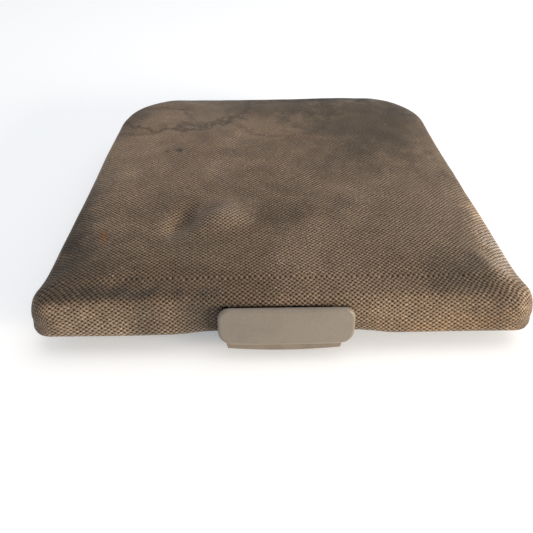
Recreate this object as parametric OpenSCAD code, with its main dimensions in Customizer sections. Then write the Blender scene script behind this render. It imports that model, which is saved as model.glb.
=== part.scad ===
// Padded armrest lid of a storage console: a cloth-covered foam pad on a moulded shell,
// an inner panel, a sprung front latch and a rear hinge with its fixed bracket.
// Millimetres. +X right, +Y towards the hinge, +Z up. Z = 0 is the plane the lid lies on.

/* [Pad] */
// Width of the cloth across the front
lid_w = 280; // [260:1:300]
// Length of the cloth, front to back
lid_l = 250; // [235:1:280]
// How much nearer the middle each side is at the back
lid_taper = 12; // [4:1:20]
// Plan radius of the two rear corners
rear_corner_r = 52; // [40:1:60]
// Plan radius of the two front corners
front_corner_r = 10; // [8:1:14]
// Height of the cloth from its lower edge to the edge of the top
pad_h = 26; // [24:1:32]
// Rise of the top above its edge
pad_crown = 4; // [1:0.5:8]
// Outward slope of the side, over its height
edge_flare = 4.5; // [2:0.5:7]
// Width of the rolled top edge
edge_roll = 10; // [6:0.5:14]
// Radius of the tuck at the lower edge
tuck_r = 4.5; // [3:0.5:5]
// Thickness of the cloth and its backing
cloth_t = 1.2; // [0.8:0.1:1.5]
// Rise of the lower edge beside the latch
arch_rise = 3; // [0:0.5:4]

/* [Shell and panel] */
// Wall of the moulded shell
shell_t = 2.5; // [2:0.1:3]
// Thickness of the inner panel
panel_t = 2.4; // [2:0.1:3]
// Height of the panel's locating skirt
skirt_h = 9.5; // [9:0.5:14]
// Distance from the cloth's outline to the skirt
skirt_inset = 34; // [32:1:38]
// Step of the panel's middle field
field_step = 3; // [2:0.5:3]

/* [Latch] */
// Width of the lever's face
lever_w = 75; // [70:1:84]
// Height of the lever's face along its slope
lever_h = 24.5; // [23:0.5:26]
// Lean of the lever's face from the vertical
lever_lean = 14; // [10:1:18]
// Thickness of the lever's face
lever_t = 2.4; // [2:0.1:3]
// Diameter of the latch pin
latch_pin_d = 4; // [3:0.5:4]
// Wire diameter of the latch spring
spring_wire = 1.2; // [0.8:0.1:1.4]
// Turns of the latch spring
spring_turns = 5; // [3:1:6]

/* [Hinge] */
// Diameter of the hinge rod
rod_d = 6; // [5:0.5:6]
// Outside diameter of the knuckles
knuckle_d = 11; // [10.5:0.5:11]
// Sheet thickness of the leaf and the bracket
sheet_t = 2; // [1.5:0.1:2]
// Width of the leaf and the bracket
hinge_w = 172; // [168:1:176]
// Middle of each group of knuckles, from the centre line
knuckle_x = 60; // [56:1:64]
// Spacing of the bracket's bolt holes across the lid
bolt_dx = 140; // [120:1:150]
// Spacing of the bracket's bolt holes along the lid
bolt_dy = 12; // [10:1:13]
// Diameter of the bracket's bolt holes
bolt_hole_d = 5.5; // [4.5:0.1:5.5]

/* [Hidden] */
$fn = 48;

gap = 0.05;          // between pieces that lie against each other
cut = 1;             // how far a cutting shape runs past what it cuts
cloth_colour = "#6f6254";
foam_colour = "#d9c67e";
trim_colour = "#a2968a";
panel_colour = "#3d3a37";
steel_colour = "#a9abae";
zinc_colour = "#b9b49f";
rubber_colour = "#1d1d1d";
nylon_colour = "#e6e2d6";

front_y = -lid_l / 2;
rear_y = lid_l / 2;
panel_z = skirt_h;                     // underside of the panel
panel_top = panel_z + panel_t;
staple_t = 0.6;
cloth_z = panel_top + staple_t;        // underside of the cloth's hem
widest_z = cloth_z + tuck_r;
top_z = cloth_z + pad_h;               // edge of the top
shell_z = cloth_z + cloth_t + gap;     // underside of the shell
shell_top = shell_z + 12.8;
shell_inset = tuck_r + 1;
hem_inset = 16;                        // inner edge of the turned-under cloth
notch_x = 34;                          // half-width of the latch's cut-out
notch_top = cloth_z + 20;             // top of the latch's pocket
arch_x = 64;                           // where the lower edge starts to rise
pocket_depth = 20;                     // the latch's pocket, back from the front

pin_y = front_y + 9;                   // the latch's axis
pin_z = cloth_z + 13.5;
lever_y = front_y - 2;                 // middle of the lever's face
lever_z = cloth_z + 11.8;
arm_x = 27;                            // inner face of each lever arm
arm_t = 3;
cheek_x = 30.5;                        // inner face of each housing cheek
cheek_t = 2.5;
hub_r = 4;
hook_x = 22;                           // middle of each hook
hook_w = 7;
plate_t = 2;                           // hook plate
hook_screw_x = 14;

axis_y = rear_y + 2;                   // the lid hinge's axis
axis_z = knuckle_d / 2;
leaf_z = panel_z - sheet_t;
leaf_front = rear_y - 27;
leaf_rear = axis_y - knuckle_d / 2 - 0.5;
leaf_half = 9.7;                       // half the length of a leaf knuckle
side_knuckle = 14;                     // length of a bracket knuckle
knuckle_gap = 0.3;
bush_wall = 1;
rod_half = 88;
clip_x = 85.3;
clip_t = 0.9;
leaf_screw_x = [-52, -18, 18, 52];
leaf_screw_y = leaf_front + 5;
panel_screws = [[-66, front_y + 24], [66, front_y + 24], [-113, -34], [113, -34],
    [-109, 22], [109, 22], [-91, 92], [91, 92]];
bumper_names = ["front_left", "front_right", "rear_left", "rear_right"];
bumper_spots = [[-118.5, front_y + 21.5], [118.5, front_y + 21.5], [-108, 58], [108, 58]];

// Outline of the lever's face, moved in by inset: tighter corners above than below.
function face_outline(inset) = let (w = lever_w / 2 - inset, h = lever_h / 2 - inset,
        rt = max(5 - inset, 0.6), rb = max(9 - inset, 0.8))
    concat(arc([w - rb, rb - h], rb, -90, 0, 7), arc([w - rt, h - rt], rt, 0, 90, 5),
        arc([rt - w, h - rt], rt, 90, 180, 5), arc([rb - w, rb - h], rb, 180, 270, 7));
function face_ring(inset, z, bulge) = [for (p = face_outline(inset))
    [p[0], p[1], z + bulge * (1 - pow(p[0] / lever_w * 2, 2)) * (1 - pow(p[1] / lever_h * 2, 2) / 2)]];

face_bulge = 1.3;
rim_depth = 2.7;
face_rings = [face_ring(0.2, -rim_depth, 0), face_ring(0, -rim_depth + 0.5, 0), face_ring(0, -1.3, 0),
    face_ring(0.45, -0.45, 0.2), face_ring(1.3, 0, 0.5), face_ring(4, 0.15, face_bulge), face_ring(9.5, 0.2, face_bulge)];

// The origin is at the middle of the whole object in plan, from the lever's front to the knuckles' back.
lever_reach = max([for (ring = face_rings) for (p = ring) p[2] * cos(lever_lean) - p[1] * sin(lever_lean)]);
frame_y = -((lever_y - lever_reach) + (axis_y + knuckle_d / 2)) / 2;

module place() translate([0, frame_y, 0]) children();

// ---------- Outlines and lofts ----------

function arc(c, r, a0, a1, n) = [for (i = [0:n]) let (a = a0 + (a1 - a0) * i / n) c + r * [cos(a), sin(a)]];

side_angle = atan(lid_taper / (lid_l - rear_corner_r - front_corner_r));

// The lid's plan outline, moved in by inset.
function outline(inset, front_r = front_corner_r, rear_r = rear_corner_r) =
    let (fr = front_r, rr = rear_r, y0 = front_y + inset + fr, y1 = rear_y - inset - rr,
        x0 = lid_w / 2 - inset - fr, x1 = lid_w / 2 - lid_taper - inset - rr)
    concat(arc([x0, y0], fr, -90, side_angle, 4), arc([x1, y1], rr, side_angle, 90, 8),
        arc([-x1, y1], rr, 90, 180 - side_angle, 8), arc([-x0, y0], fr, 180 - side_angle, 270, 4));

// How far the side stands in from the widest line, a share t of the way up to the top's edge.
function side_inset(t) = edge_flare * t + edge_roll * (1 - pow(max(0, 1 - pow(t, 3)), 1 / 3));
// A ring of the pad: an outline that stands in by inset, shrunk by share, at height z.
function pad_ring(inset, z, share = 1) =
    [for (p = outline(inset, max(front_corner_r - inset / 2, 2), rear_corner_r - inset)) [p[0] * share, p[1] * share, z]];

side_steps = [0, 0.5, 0.75, 0.92, 1];
crown_steps = [0.7, 0.35];
tuck_steps = [0, 45];

// The pad's outer rings from the tuck to the top, standing in by skin all over.
function pad_rings(skin) = let (rise = top_z - skin - widest_z, turn = tuck_r - skin)
    concat([for (a = tuck_steps) pad_ring(skin + turn * (1 - sin(a)), widest_z - turn * cos(a))],
        [for (t = side_steps) pad_ring(skin + side_inset(t), widest_z + rise * t)],
        [for (s = crown_steps) pad_ring(skin + side_inset(1), top_z - skin + pad_crown * (1 - s * s), s)]);
function reversed(list) = [for (i = [len(list) - 1:-1:0]) list[i]];

// A closed solid through rings of the same number of points, from the lowest to the highest.
module loft(rings) {
    n = len(rings[0]);
    m = len(rings);
    polyhedron(points = [for (r = rings) for (p = r) p],
        faces = concat(
            [for (k = [0:m - 2]) for (i = [0:n - 1]) [k * n + i, (k + 1) * n + i, k * n + (i + 1) % n]],
            [for (k = [0:m - 2]) for (i = [0:n - 1])
                [k * n + (i + 1) % n, (k + 1) * n + i, (k + 1) * n + (i + 1) % n]],
            [[for (i = [0:n - 1]) i], [for (i = [n - 1:-1:0]) (m - 1) * n + i]]));
}

module plate(inset, z0, z1, front_r, rear_r)
    translate([0, 0, z0]) linear_extrude(z1 - z0) polygon(outline(inset, front_r, rear_r));

module block(x0, x1, y0, y1, z0, z1) translate([x0, y0, z0]) cube([x1 - x0, y1 - y0, z1 - z0]);

module along_x(x0, x1, y, z, r) translate([x0, y, z]) rotate([0, 90, 0]) cylinder(h = x1 - x0, r = r);

module both_sides() {
    children();
    mirror([1, 0, 0]) children();
}

// Pan-head screw with its head below z and its shank above, and a cross in the head.
module screw(shank_r, length, head_r, head_h) {
    cylinder(h = length, r = shank_r);
    difference() {
        rotate_extrude() polygon([[0, -head_h], [head_r * 0.55, -head_h * 0.95], [head_r * 0.9, -head_h * 0.6],
            [head_r, -head_h * 0.15], [head_r, 0], [0, 0]]);
        for (a = [0, 90]) rotate([0, 0, a])
            translate([-head_r * 0.6, -head_r * 0.12, -head_h - cut]) cube([head_r * 1.2, head_r * 0.24, cut + head_h / 2]);
    }
}

// A tube along points that stay nearly square to the X axis.
function unit(v) = v / norm(v);
module wire(path, r, sides = 8) {
    n = len(path);
    loft([for (i = [n - 1:-1:0])
        let (t = unit(path[min(i + 1, n - 1)] - path[max(i - 1, 0)]), b = unit(cross(t, [1, 0, 0])), a = cross(b, t))
        [for (k = [0:sides - 1]) path[i] + r * (cos(360 * k / sides) * a + sin(360 * k / sides) * b)]]);
}

// ---------- Pad ----------

module latch_notch(half, depth, top)
    block(-half, half, front_y - 20, front_y + depth, cloth_z - 20, top);

// The lower edge's rise beside the latch.
module edge_arch() translate([0, front_y - cut, cloth_z]) rotate([90, 0, 0]) mirror([0, 0, 1])
    linear_extrude(hem_inset + 2) polygon([[-arch_x, -cut], [-arch_x, 0], [-arch_x + 24, arch_rise],
        [arch_x - 24, arch_rise], [arch_x, 0], [arch_x, -cut]]);

// The rings run down the inside, round the hem's edge and up the outside.
module cloth_cover() color(cloth_colour) difference() {
    loft(concat(reversed(pad_rings(cloth_t)), [pad_ring(hem_inset, cloth_z + cloth_t), pad_ring(hem_inset, cloth_z)],
        pad_rings(0)));
    latch_notch(notch_x, pocket_depth + 2.5, notch_top - 0.5);
    edge_arch();
}

module foam_pad() color(foam_colour) difference() {
    loft(concat([pad_ring(shell_inset - gap, shell_top + gap), pad_ring(shell_inset - gap, cloth_z + cloth_t + 2 * gap)],
        pad_rings(cloth_t + 2 * gap)));
    latch_notch(notch_x + shell_t + gap, pocket_depth + 2.5 + gap, notch_top + shell_t + gap);
}

// ---------- Shell ----------

module boss(x, y, z0, r, hole_r) difference() {
    translate([x, y, z0]) cylinder(h = shell_top - shell_t - z0, r = r);
    translate([x, y, z0 - cut]) cylinder(h = shell_top - shell_t - z0, r = hole_r);
}

module shell_walls() difference() {
    union() {
        plate(shell_inset, shell_z, shell_top, 8, rear_corner_r - shell_inset);
        block(-notch_x - shell_t, notch_x + shell_t, front_y + 10, front_y + pocket_depth + 2.5,
            shell_z, notch_top + shell_t);
    }
    difference() {
        plate(shell_inset + shell_t, shell_z - cut, shell_top - shell_t, 6, rear_corner_r - shell_inset - shell_t);
        // The flange that the hem is stapled to.
        difference() {
            plate(shell_inset, shell_z, shell_z + shell_t, 8, rear_corner_r - shell_inset);
            plate(hem_inset - 0.5, shell_z - cut, shell_z + shell_t + cut, 4, rear_corner_r - hem_inset);
        }
        block(-notch_x - shell_t, notch_x + shell_t, front_y + 4, front_y + pocket_depth + 2.5,
            shell_z, shell_top);
    }
    // The latch's pocket, its opening and the foot's way through its back wall.
    latch_notch(notch_x, pocket_depth, notch_top);
    latch_notch(arch_x, hem_inset + 2, widest_z + 0.5);
    latch_notch(notch_x, pocket_depth + 12, shell_z + 2.6);
}

module shell_ribs() {
    for (x = [-90, -45, 45, 90]) block(x - 0.9, x + 0.9, -84, 84, panel_top + field_step + 1, shell_top - shell_t + gap);
    for (y = [-56, 0, 56]) block(-112, 112, y - 0.9, y + 0.9, panel_top + field_step + 1, shell_top - shell_t + gap);
}

module lid_shell() color(panel_colour) {
    shell_walls();
    shell_ribs();
    for (p = panel_screws) boss(p[0], p[1], panel_top, 4, 1.62);
    for (x = leaf_screw_x) boss(x, leaf_screw_y, panel_top, 5, 3.02);
    for (x = [-20, 20]) boss(x, front_y + 27, shell_z + 2.5, 3.6, 1.42);
}

staple_w = 10;
front_staples = [for (x = [-122, -102, -82]) [x, front_y + 11, 0]];
side_staples = [for (i = [0:6]) [-lid_w / 2 + 11 + lid_taper * (i * 25 + 25) / lid_l, front_y + 25 + i * 25, 90]];
rear_staples = [for (x = [-66, -40, -14]) [x, rear_y - 11, 0]];

module staple(p) translate([p[0], p[1], cloth_z - staple_t]) rotate([0, 0, p[2]]) {
    translate([-staple_w / 2, -0.6, 0]) cube([staple_w, 1.2, staple_t]);
    for (x = [-staple_w / 2, staple_w / 2 - 0.7]) translate([x, -0.6, 0]) cube([0.7, 1.2, 4]);
}

module cloth_staples() color(zinc_colour)
    both_sides() for (p = concat(front_staples, side_staples, rear_staples)) staple(p);

// ---------- Inner panel ----------

module panel_holes() {
    for (p = panel_screws) translate([p[0], p[1], panel_z - cut]) cylinder(h = panel_t + 2 * cut, r = 1.8);
    for (p = bumper_spots) translate([p[0], p[1], panel_z - cut]) cylinder(h = panel_t + 2 * cut, r = 2.55);
    for (x = leaf_screw_x) translate([x, leaf_screw_y, panel_z - cut]) cylinder(h = panel_t + 2 * cut, r = 2.7);
}

field_inset = skirt_inset + 12;

module inner_panel() color(panel_colour) difference() {
    union() {
        difference() {
            plate(7, panel_z, panel_top, 6, rear_corner_r - 7);
            plate(field_inset + panel_t, panel_z - cut, panel_top + cut, 10, 10);
        }
        // The raised middle field.
        difference() {
            plate(field_inset, panel_z, panel_top + field_step, 12, 12);
            plate(field_inset + panel_t, panel_z - cut, panel_top + field_step - panel_t, 10, 10);
        }
        // The skirt that locates the lid in the bin.
        difference() {
            plate(skirt_inset, 0, panel_z + gap, 14, 20);
            plate(skirt_inset + 2.5, -cut, panel_z + 1, 12, 18);
        }
    }
    panel_holes();
    block(-37, 37, front_y - cut, front_y + 32, panel_z - cut, panel_top + cut);
    latch_notch(arch_x - 4, 12, panel_top + cut);
}

module inner_panel_screws() color(zinc_colour)
    for (p = panel_screws) translate([p[0], p[1], panel_z]) screw(1.6, 10, 3.8, 2.2);

// A rubber stop with a stem and a bulb that holds it in the panel.
module rim_bumper(p) color(rubber_colour) translate([p[0], p[1], panel_z]) rotate_extrude() polygon([
    [0, -5], [4.4, -5], [5.4, -4.4], [6, -0.8], [6, -gap], [2.5, -gap], [2.5, panel_t + gap],
    [3.6, panel_t + gap], [3.4, panel_t + 1], [1.6, panel_t + 3], [0, panel_t + 3]]);

// ---------- Latch ----------

module latch_housing() color(panel_colour) difference() {
    union() {
        both_sides() block(cheek_x, cheek_x + cheek_t, front_y + 3, front_y + pocket_depth - 0.4,
            shell_z + 1, notch_top - 0.2);
        // Back, top and foot.
        block(-cheek_x - 1, cheek_x + 1, front_y + pocket_depth - 2.9, front_y + pocket_depth - 0.4,
            shell_z, notch_top - 0.2);
        block(-cheek_x - 1, cheek_x + 1, front_y + 8, front_y + pocket_depth - 1, notch_top - 1.7, notch_top - 0.2);
        block(-28, 28, front_y + pocket_depth - 2.9, front_y + pocket_depth + 10.5, shell_z, shell_z + 2.4);
    }
    along_x(-40, 40, pin_y, pin_z, latch_pin_d / 2 + 0.02);
    for (x = [-20, 20]) translate([x, front_y + 27, shell_z - cut]) cylinder(h = 5, r = 1.7);
    // The front of each cheek is cut to the cloth's slope.
    translate([-40, front_y + 3.4, cloth_z - 8]) rotate([-lever_lean, 0, 0]) translate([0, -12, 0]) cube([80, 12, 40]);
}

module latch_housing_screws() color(zinc_colour)
    for (x = [-20, 20]) translate([x, front_y + 27, shell_z]) screw(1.4, 8, 3.2, 1.8);

module latch_pin() color(steel_colour) {
    along_x(-cheek_x - cheek_t - 0.3, cheek_x + cheek_t + 0.3, pin_y, pin_z, latch_pin_d / 2);
}

coil_r = latch_pin_d / 2 + spring_wire / 2 + 0.9;
coil_pitch = spring_wire + 0.25;
function coil_point(a) = [(a / 360 - spring_turns / 2) * coil_pitch, pin_y + coil_r * cos(a - 40), pin_z + coil_r * sin(a - 40)];
coil_end = 360 * spring_turns + 180;

// Coils round the pin: one leg bears on the housing's back, the other on the lever's face above the pin.
module latch_spring() color(steel_colour) wire(concat(
    [[coil_point(0)[0], front_y + pocket_depth - 3.6, pin_z - 10], [coil_point(0)[0], front_y + pocket_depth - 4.2, pin_z - 7]],
    [for (a = [0:30:coil_end]) coil_point(a)],
    [[coil_point(coil_end)[0], pin_y - 5, pin_z + 2], [coil_point(coil_end)[0], pin_y - 6.1, pin_z + 3.8]]), spring_wire / 2);

// A pad that the lever's arm comes to rest on.
module latch_stop_pad() color(rubber_colour)
    block(arm_x, arm_x + arm_t, front_y + pocket_depth - 5.2, front_y + pocket_depth - 2.9 - gap, pin_z - 9, pin_z - 2);

// The lever's frame: X along the lid, Y up the face, Z out of it, with its origin at the face's middle.
module lever_frame() translate([0, lever_y, lever_z]) rotate([90 - lever_lean, 0, 0]) children();

module lever_face() difference() {
    loft(face_rings);
    // The hollow behind the face, and the lip's way out below it.
    loft([face_ring(1.8, -rim_depth - cut, 0), face_ring(1.8, -lever_t, 0)]);
    translate([-lip_w / 2 - gap, -lever_h / 2 - cut, -lever_t - 1]) cube([lip_w + 2 * gap, 4 + cut, 1]);
}

// The side view of an arm, from the face back to its hub on the pin.
module arm_outline() difference() {
    union() {
        translate([pin_y, pin_z]) circle(r = hub_r);
        polygon([[pin_y, pin_z + hub_r], [pin_y, pin_z - hub_r], [pin_y - 3, pin_z - 8],
            [lever_y + 0.3, pin_z - 9], [lever_y + 2.3, pin_z + 2]]);
        polygon([[pin_y + 1, pin_z - 2], [front_y + pocket_depth - 5.4, pin_z - 4],
            [front_y + pocket_depth - 5.4, pin_z - 7.5], [pin_y - 1, pin_z - 8]]);
    }
    translate([pin_y, pin_z]) circle(r = latch_pin_d / 2 + 0.04);
}

module latch_lever() color(trim_colour) difference() {
    union() {
        lever_frame() lever_face();
        both_sides() translate([arm_x, 0, 0]) rotate([90, 0, 90]) linear_extrude(arm_t) arm_outline();
    }
    lever_frame() for (x = [-hook_screw_x, hook_screw_x]) translate([x, 0, -lever_t - cut]) cylinder(h = 2.2 + cut, r = 1.22);
}

lip_w = 60;
lip_drop = 4.2;

// The finger lip below the face: square ends and a lower edge that sags to the middle.
function lip_outline() = concat([[-lip_w / 2, -lever_h / 2 + 2.2]],
    [for (i = [0:8]) let (s = i / 4 - 1) [s * (lip_w / 2 - 1.5), -lever_h / 2 - lip_drop - 1.6 * (1 - s * s)]],
    [[lip_w / 2, -lever_h / 2 + 2.2]]);

module hook_outline() polygon([[lever_y + 4, lever_z + 1], [front_y + 7.5, lever_z - 4], [front_y + 9, 7.4],
    [front_y + 13.8, 6.4], [front_y + 13.8, 4.8], [front_y + 9.5, 1.3], [front_y + 6, 1.3], [front_y + 4.2, 9],
    [lever_y + 2.3, lever_z - 8]]);

module latch_hook_plate() color(trim_colour) difference() {
    union() {
        lever_frame() translate([0, 0, -lever_t - plate_t - gap]) linear_extrude(plate_t) {
            polygon(lip_outline());
            translate([-26, -lever_h / 2 + 1.9]) square([52, 15]);
        }
        both_sides() translate([hook_x - hook_w / 2, 0, 0]) rotate([90, 0, 90]) linear_extrude(hook_w) hook_outline();
    }
    lever_frame() for (x = [-hook_screw_x, hook_screw_x]) translate([x, 0, -8]) cylinder(h = 8, r = 1.35);
}

module latch_hook_screws() color(zinc_colour) lever_frame()
    for (x = [-hook_screw_x, hook_screw_x]) translate([x, 0, -lever_t - plate_t - gap]) screw(1.2, 3.9, 2.6, 1.4);

// ---------- Hinge ----------

module knuckle(x0, x1, bore_r) difference() {
    along_x(x0, x1, axis_y, axis_z, knuckle_d / 2);
    along_x(x0 - cut, x1 + cut, axis_y, axis_z, bore_r);
}

bush_r = rod_d / 2 + bush_wall;

module hinge_leaf() color(steel_colour) {
    difference() {
        union() {
            block(-hinge_w / 2, hinge_w / 2, leaf_front, leaf_rear, leaf_z, panel_z);
            both_sides() block(knuckle_x - leaf_half, knuckle_x + leaf_half, leaf_rear - cut, axis_y, leaf_z, panel_z);
            both_sides() along_x(knuckle_x - leaf_half, knuckle_x + leaf_half, axis_y, axis_z, knuckle_d / 2);
        }
        along_x(-hinge_w, hinge_w, axis_y, axis_z, bush_r + 0.01);
        for (x = leaf_screw_x) translate([x, leaf_screw_y, leaf_z - cut]) cylinder(h = sheet_t + 2 * cut, r = 2.7);
    }
}

module hinge_leaf_screws() color(zinc_colour)
    for (x = leaf_screw_x) translate([x, leaf_screw_y, leaf_z]) screw(2.5, 13, 4.6, 2.6);

module hinge_inserts() color("#c9a44c") for (x = leaf_screw_x) translate([x, leaf_screw_y, panel_top + gap]) difference() {
    cylinder(h = 9, r = 3);
    translate([0, 0, -cut]) cylinder(h = 9 + 2 * cut, r = 2.52);
}

// Flanged bush, pressed in from one end of a leaf knuckle.
module hinge_bush(end_x, way) color(nylon_colour) difference() {
    union() {
        along_x(min(end_x, end_x - way * 8), max(end_x, end_x - way * 8), axis_y, axis_z, bush_r);
        along_x(min(end_x, end_x + way * 0.8), max(end_x, end_x + way * 0.8), axis_y, axis_z, knuckle_d / 2 - 0.6);
    }
    along_x(end_x - 12, end_x + 12, axis_y, axis_z, rod_d / 2 + 0.05);
}

bush_ends = [-knuckle_x - leaf_half, -knuckle_x + leaf_half, knuckle_x - leaf_half, knuckle_x + leaf_half];
bush_ways = [-1, 1, -1, 1];
bracket_start = leaf_half + 0.8 + knuckle_gap;

module hinge_bracket() color(steel_colour) difference() {
    union() {
        block(-hinge_w / 2, hinge_w / 2, leaf_front, leaf_rear, 0, sheet_t);
        for (m = [-1, 1], s = [-1, 1]) let (near = m * knuckle_x + s * bracket_start, far = near + s * side_knuckle) {
            block(min(near, far), max(near, far), leaf_rear - cut, axis_y, 0, sheet_t);
            along_x(min(near, far), max(near, far), axis_y, axis_z, knuckle_d / 2);
        }
    }
    along_x(-hinge_w, hinge_w, axis_y, axis_z, rod_d / 2 + 0.02);
    for (x = [-1, 1], y = [-1, 1]) translate([x * bolt_dx / 2, (leaf_front + leaf_rear) / 2 + y * bolt_dy / 2, -cut])
        cylinder(h = sheet_t + 2 * cut, r = bolt_hole_d / 2);
}

module hinge_rod() color(steel_colour) difference() {
    along_x(-rod_half, rod_half, axis_y, axis_z, rod_d / 2);
    both_sides() difference() {
        along_x(clip_x, clip_x + clip_t + 0.1, axis_y, axis_z, rod_d);
        along_x(clip_x - cut, clip_x + clip_t + cut, axis_y, axis_z, rod_d / 2 - 0.7);
    }
}

module rod_clip(side) color(zinc_colour) mirror([side < 0 ? 1 : 0, 0, 0]) difference() {
    along_x(clip_x + gap, clip_x + clip_t, axis_y, axis_z, knuckle_d / 2 - 0.4);
    along_x(clip_x - cut, clip_x + clip_t + cut, axis_y, axis_z, rod_d / 2 - 0.66);
    block(clip_x - cut, clip_x + clip_t + cut, axis_y, axis_y + knuckle_d, axis_z - 1.9, axis_z + 1.9);
}

place() cloth_cover();
place() foam_pad();
place() lid_shell();
place() cloth_staples();
place() inner_panel();
place() inner_panel_screws();
for (i = [0:3]) place() rim_bumper(bumper_spots[i]);
place() latch_housing();
place() latch_housing_screws();
place() latch_pin();
place() latch_spring();
place() latch_stop_pad();  // latch_stop_pad_right
place() mirror([1, 0, 0]) latch_stop_pad();  // latch_stop_pad_left
place() latch_lever();
place() latch_hook_plate();
place() latch_hook_screws();
place() hinge_leaf();
place() hinge_leaf_screws();
place() hinge_inserts();
for (i = [0:3]) place() hinge_bush(bush_ends[i], bush_ways[i]);
place() hinge_bracket();
place() hinge_rod();
place() rod_clip(-1);  // rod_clip_left
place() rod_clip(1);  // rod_clip_right
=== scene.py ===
"""The looks of a padded console lid: worn woven cloth over foam, a moulded finger lever,
and the plastic and plated steel under it. Metres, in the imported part's own frame:
+X right, +Y towards the hinge, +Z up, with Z = 0 under the closed lid."""
import bisect
import math

import bmesh
import bpy
from mathutils import Matrix, Vector, kdtree, noise


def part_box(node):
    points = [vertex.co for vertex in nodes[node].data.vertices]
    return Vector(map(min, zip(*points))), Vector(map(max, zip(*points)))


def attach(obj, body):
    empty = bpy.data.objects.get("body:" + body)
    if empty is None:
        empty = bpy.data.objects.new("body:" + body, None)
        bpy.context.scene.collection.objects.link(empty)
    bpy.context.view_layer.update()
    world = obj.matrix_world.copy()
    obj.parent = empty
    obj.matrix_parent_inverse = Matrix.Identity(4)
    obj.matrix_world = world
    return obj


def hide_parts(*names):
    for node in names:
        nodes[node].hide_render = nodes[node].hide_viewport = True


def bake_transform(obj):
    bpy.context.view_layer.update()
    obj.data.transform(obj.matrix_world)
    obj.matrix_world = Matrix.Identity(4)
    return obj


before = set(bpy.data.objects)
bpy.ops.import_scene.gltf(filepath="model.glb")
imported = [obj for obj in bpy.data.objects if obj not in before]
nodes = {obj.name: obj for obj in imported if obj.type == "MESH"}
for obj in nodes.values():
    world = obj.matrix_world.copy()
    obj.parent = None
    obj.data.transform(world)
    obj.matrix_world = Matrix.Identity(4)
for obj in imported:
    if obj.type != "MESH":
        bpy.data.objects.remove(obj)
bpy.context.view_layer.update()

# ---------------------------------------------------------------- sizes from the frame

cloth_low, cloth_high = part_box("cloth_cover")
lever_low, lever_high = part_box("latch_lever")

HALF_WIDTH = 0.140
FRONT_Y = cloth_low.y
REAR_Y = cloth_high.y
CLOTH_Z = cloth_low.z
TAPER = 0.012            # each side stands in by this at the back
REAR_CORNER = 0.052
FRONT_CORNER = 0.010
PAD_HEIGHT = 0.026
CROWN = cloth_high.z - CLOTH_Z - PAD_HEIGHT
EDGE_FLARE = 0.0045
EDGE_ROLL = 0.010
TUCK = 0.0045
CLOTH_THICK = 0.0012
HEM = 0.016
NOTCH_HALF = 0.034
NOTCH_TOP = CLOTH_Z + 0.0195
NOTCH_DEPTH = 0.0225
ARCH_HALF = 0.064
ARCH_RISE = 0.003
WIDEST_Z = CLOTH_Z + TUCK
EDGE_TOP = CLOTH_Z + PAD_HEIGHT
WEAVE_ACROSS = 0.00304   # one repeat of the weave on the flat cloth, from side to side
WEAVE_ALONG = 0.00252    # and from front to back
SWELL_LIMIT = 0.0012     # the most that the pad swells anywhere
WEAVE_TURN = math.radians(3.4)   # the cloth was laid a little askew


def eased(t):
    """0 to 1 with level ends."""
    t = min(1.0, max(0.0, t))
    return t * t * (3 - 2 * t)


def bell(x, y, at, size, turn=0.0):
    """1 at a point and fading to 0 about size away from it, along and across a direction."""
    dx, dy = x - at[0], y - at[1]
    c, s = math.cos(math.radians(turn)), math.sin(math.radians(turn))
    return math.exp(-(((dx * c + dy * s) / size[0]) ** 2 + ((dy * c - dx * s) / size[1]) ** 2))


# ---------------------------------------------------------------- the lid's outline

SIDE_ANGLE = math.atan(TAPER / (REAR_Y - FRONT_Y - REAR_CORNER - FRONT_CORNER))


def lid_outline(inset):
    """(place, outward direction) round the lid, moved in by inset, always with the same count."""
    front_r = max(FRONT_CORNER - inset / 2, 0.002)
    rear_r = REAR_CORNER - inset
    front_c = Vector((HALF_WIDTH - inset - front_r, FRONT_Y + inset + front_r))
    rear_c = Vector((HALF_WIDTH - TAPER - inset - rear_r, REAR_Y - inset - rear_r))
    right = []
    # Along the front, with a point where the latch's cut-out and the arch end.
    stops = [0, NOTCH_HALF, ARCH_HALF, front_c.x]
    for a, b, n in zip(stops, stops[1:], (11, 10, 22)):
        right += [(Vector((a + (b - a) * i / n, front_c.y - front_r)), Vector((0, -1))) for i in range(n)]
    for i in range(9):
        a = math.radians(-90) + (math.radians(90) + SIDE_ANGLE) * i / 8
        out = Vector((math.cos(a), math.sin(a)))
        right.append((front_c + out * front_r, out))
    side_a, side_b = right[-1][0], rear_c + right[-1][1] * rear_r
    right += [(side_a.lerp(side_b, i / 56), right[-1][1]) for i in range(1, 56)]
    for i in range(27):
        a = SIDE_ANGLE + (math.radians(90) - SIDE_ANGLE) * i / 26
        out = Vector((math.cos(a), math.sin(a)))
        right.append((rear_c + out * rear_r, out))
    right += [(Vector((rear_c.x * (1 - i / 24), REAR_Y - inset)), Vector((0, 1))) for i in range(1, 25)]
    left = [(Vector((-p.x, p.y)), Vector((-d.x, d.y))) for p, d in right[-2:0:-1]]
    return right + left


def side_inset(t):
    """How far the side stands in from the widest line, a share t of the way up."""
    return EDGE_FLARE * t + EDGE_ROLL * (1 - max(0.0, 1 - t ** 4) ** (1 / 4))


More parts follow.
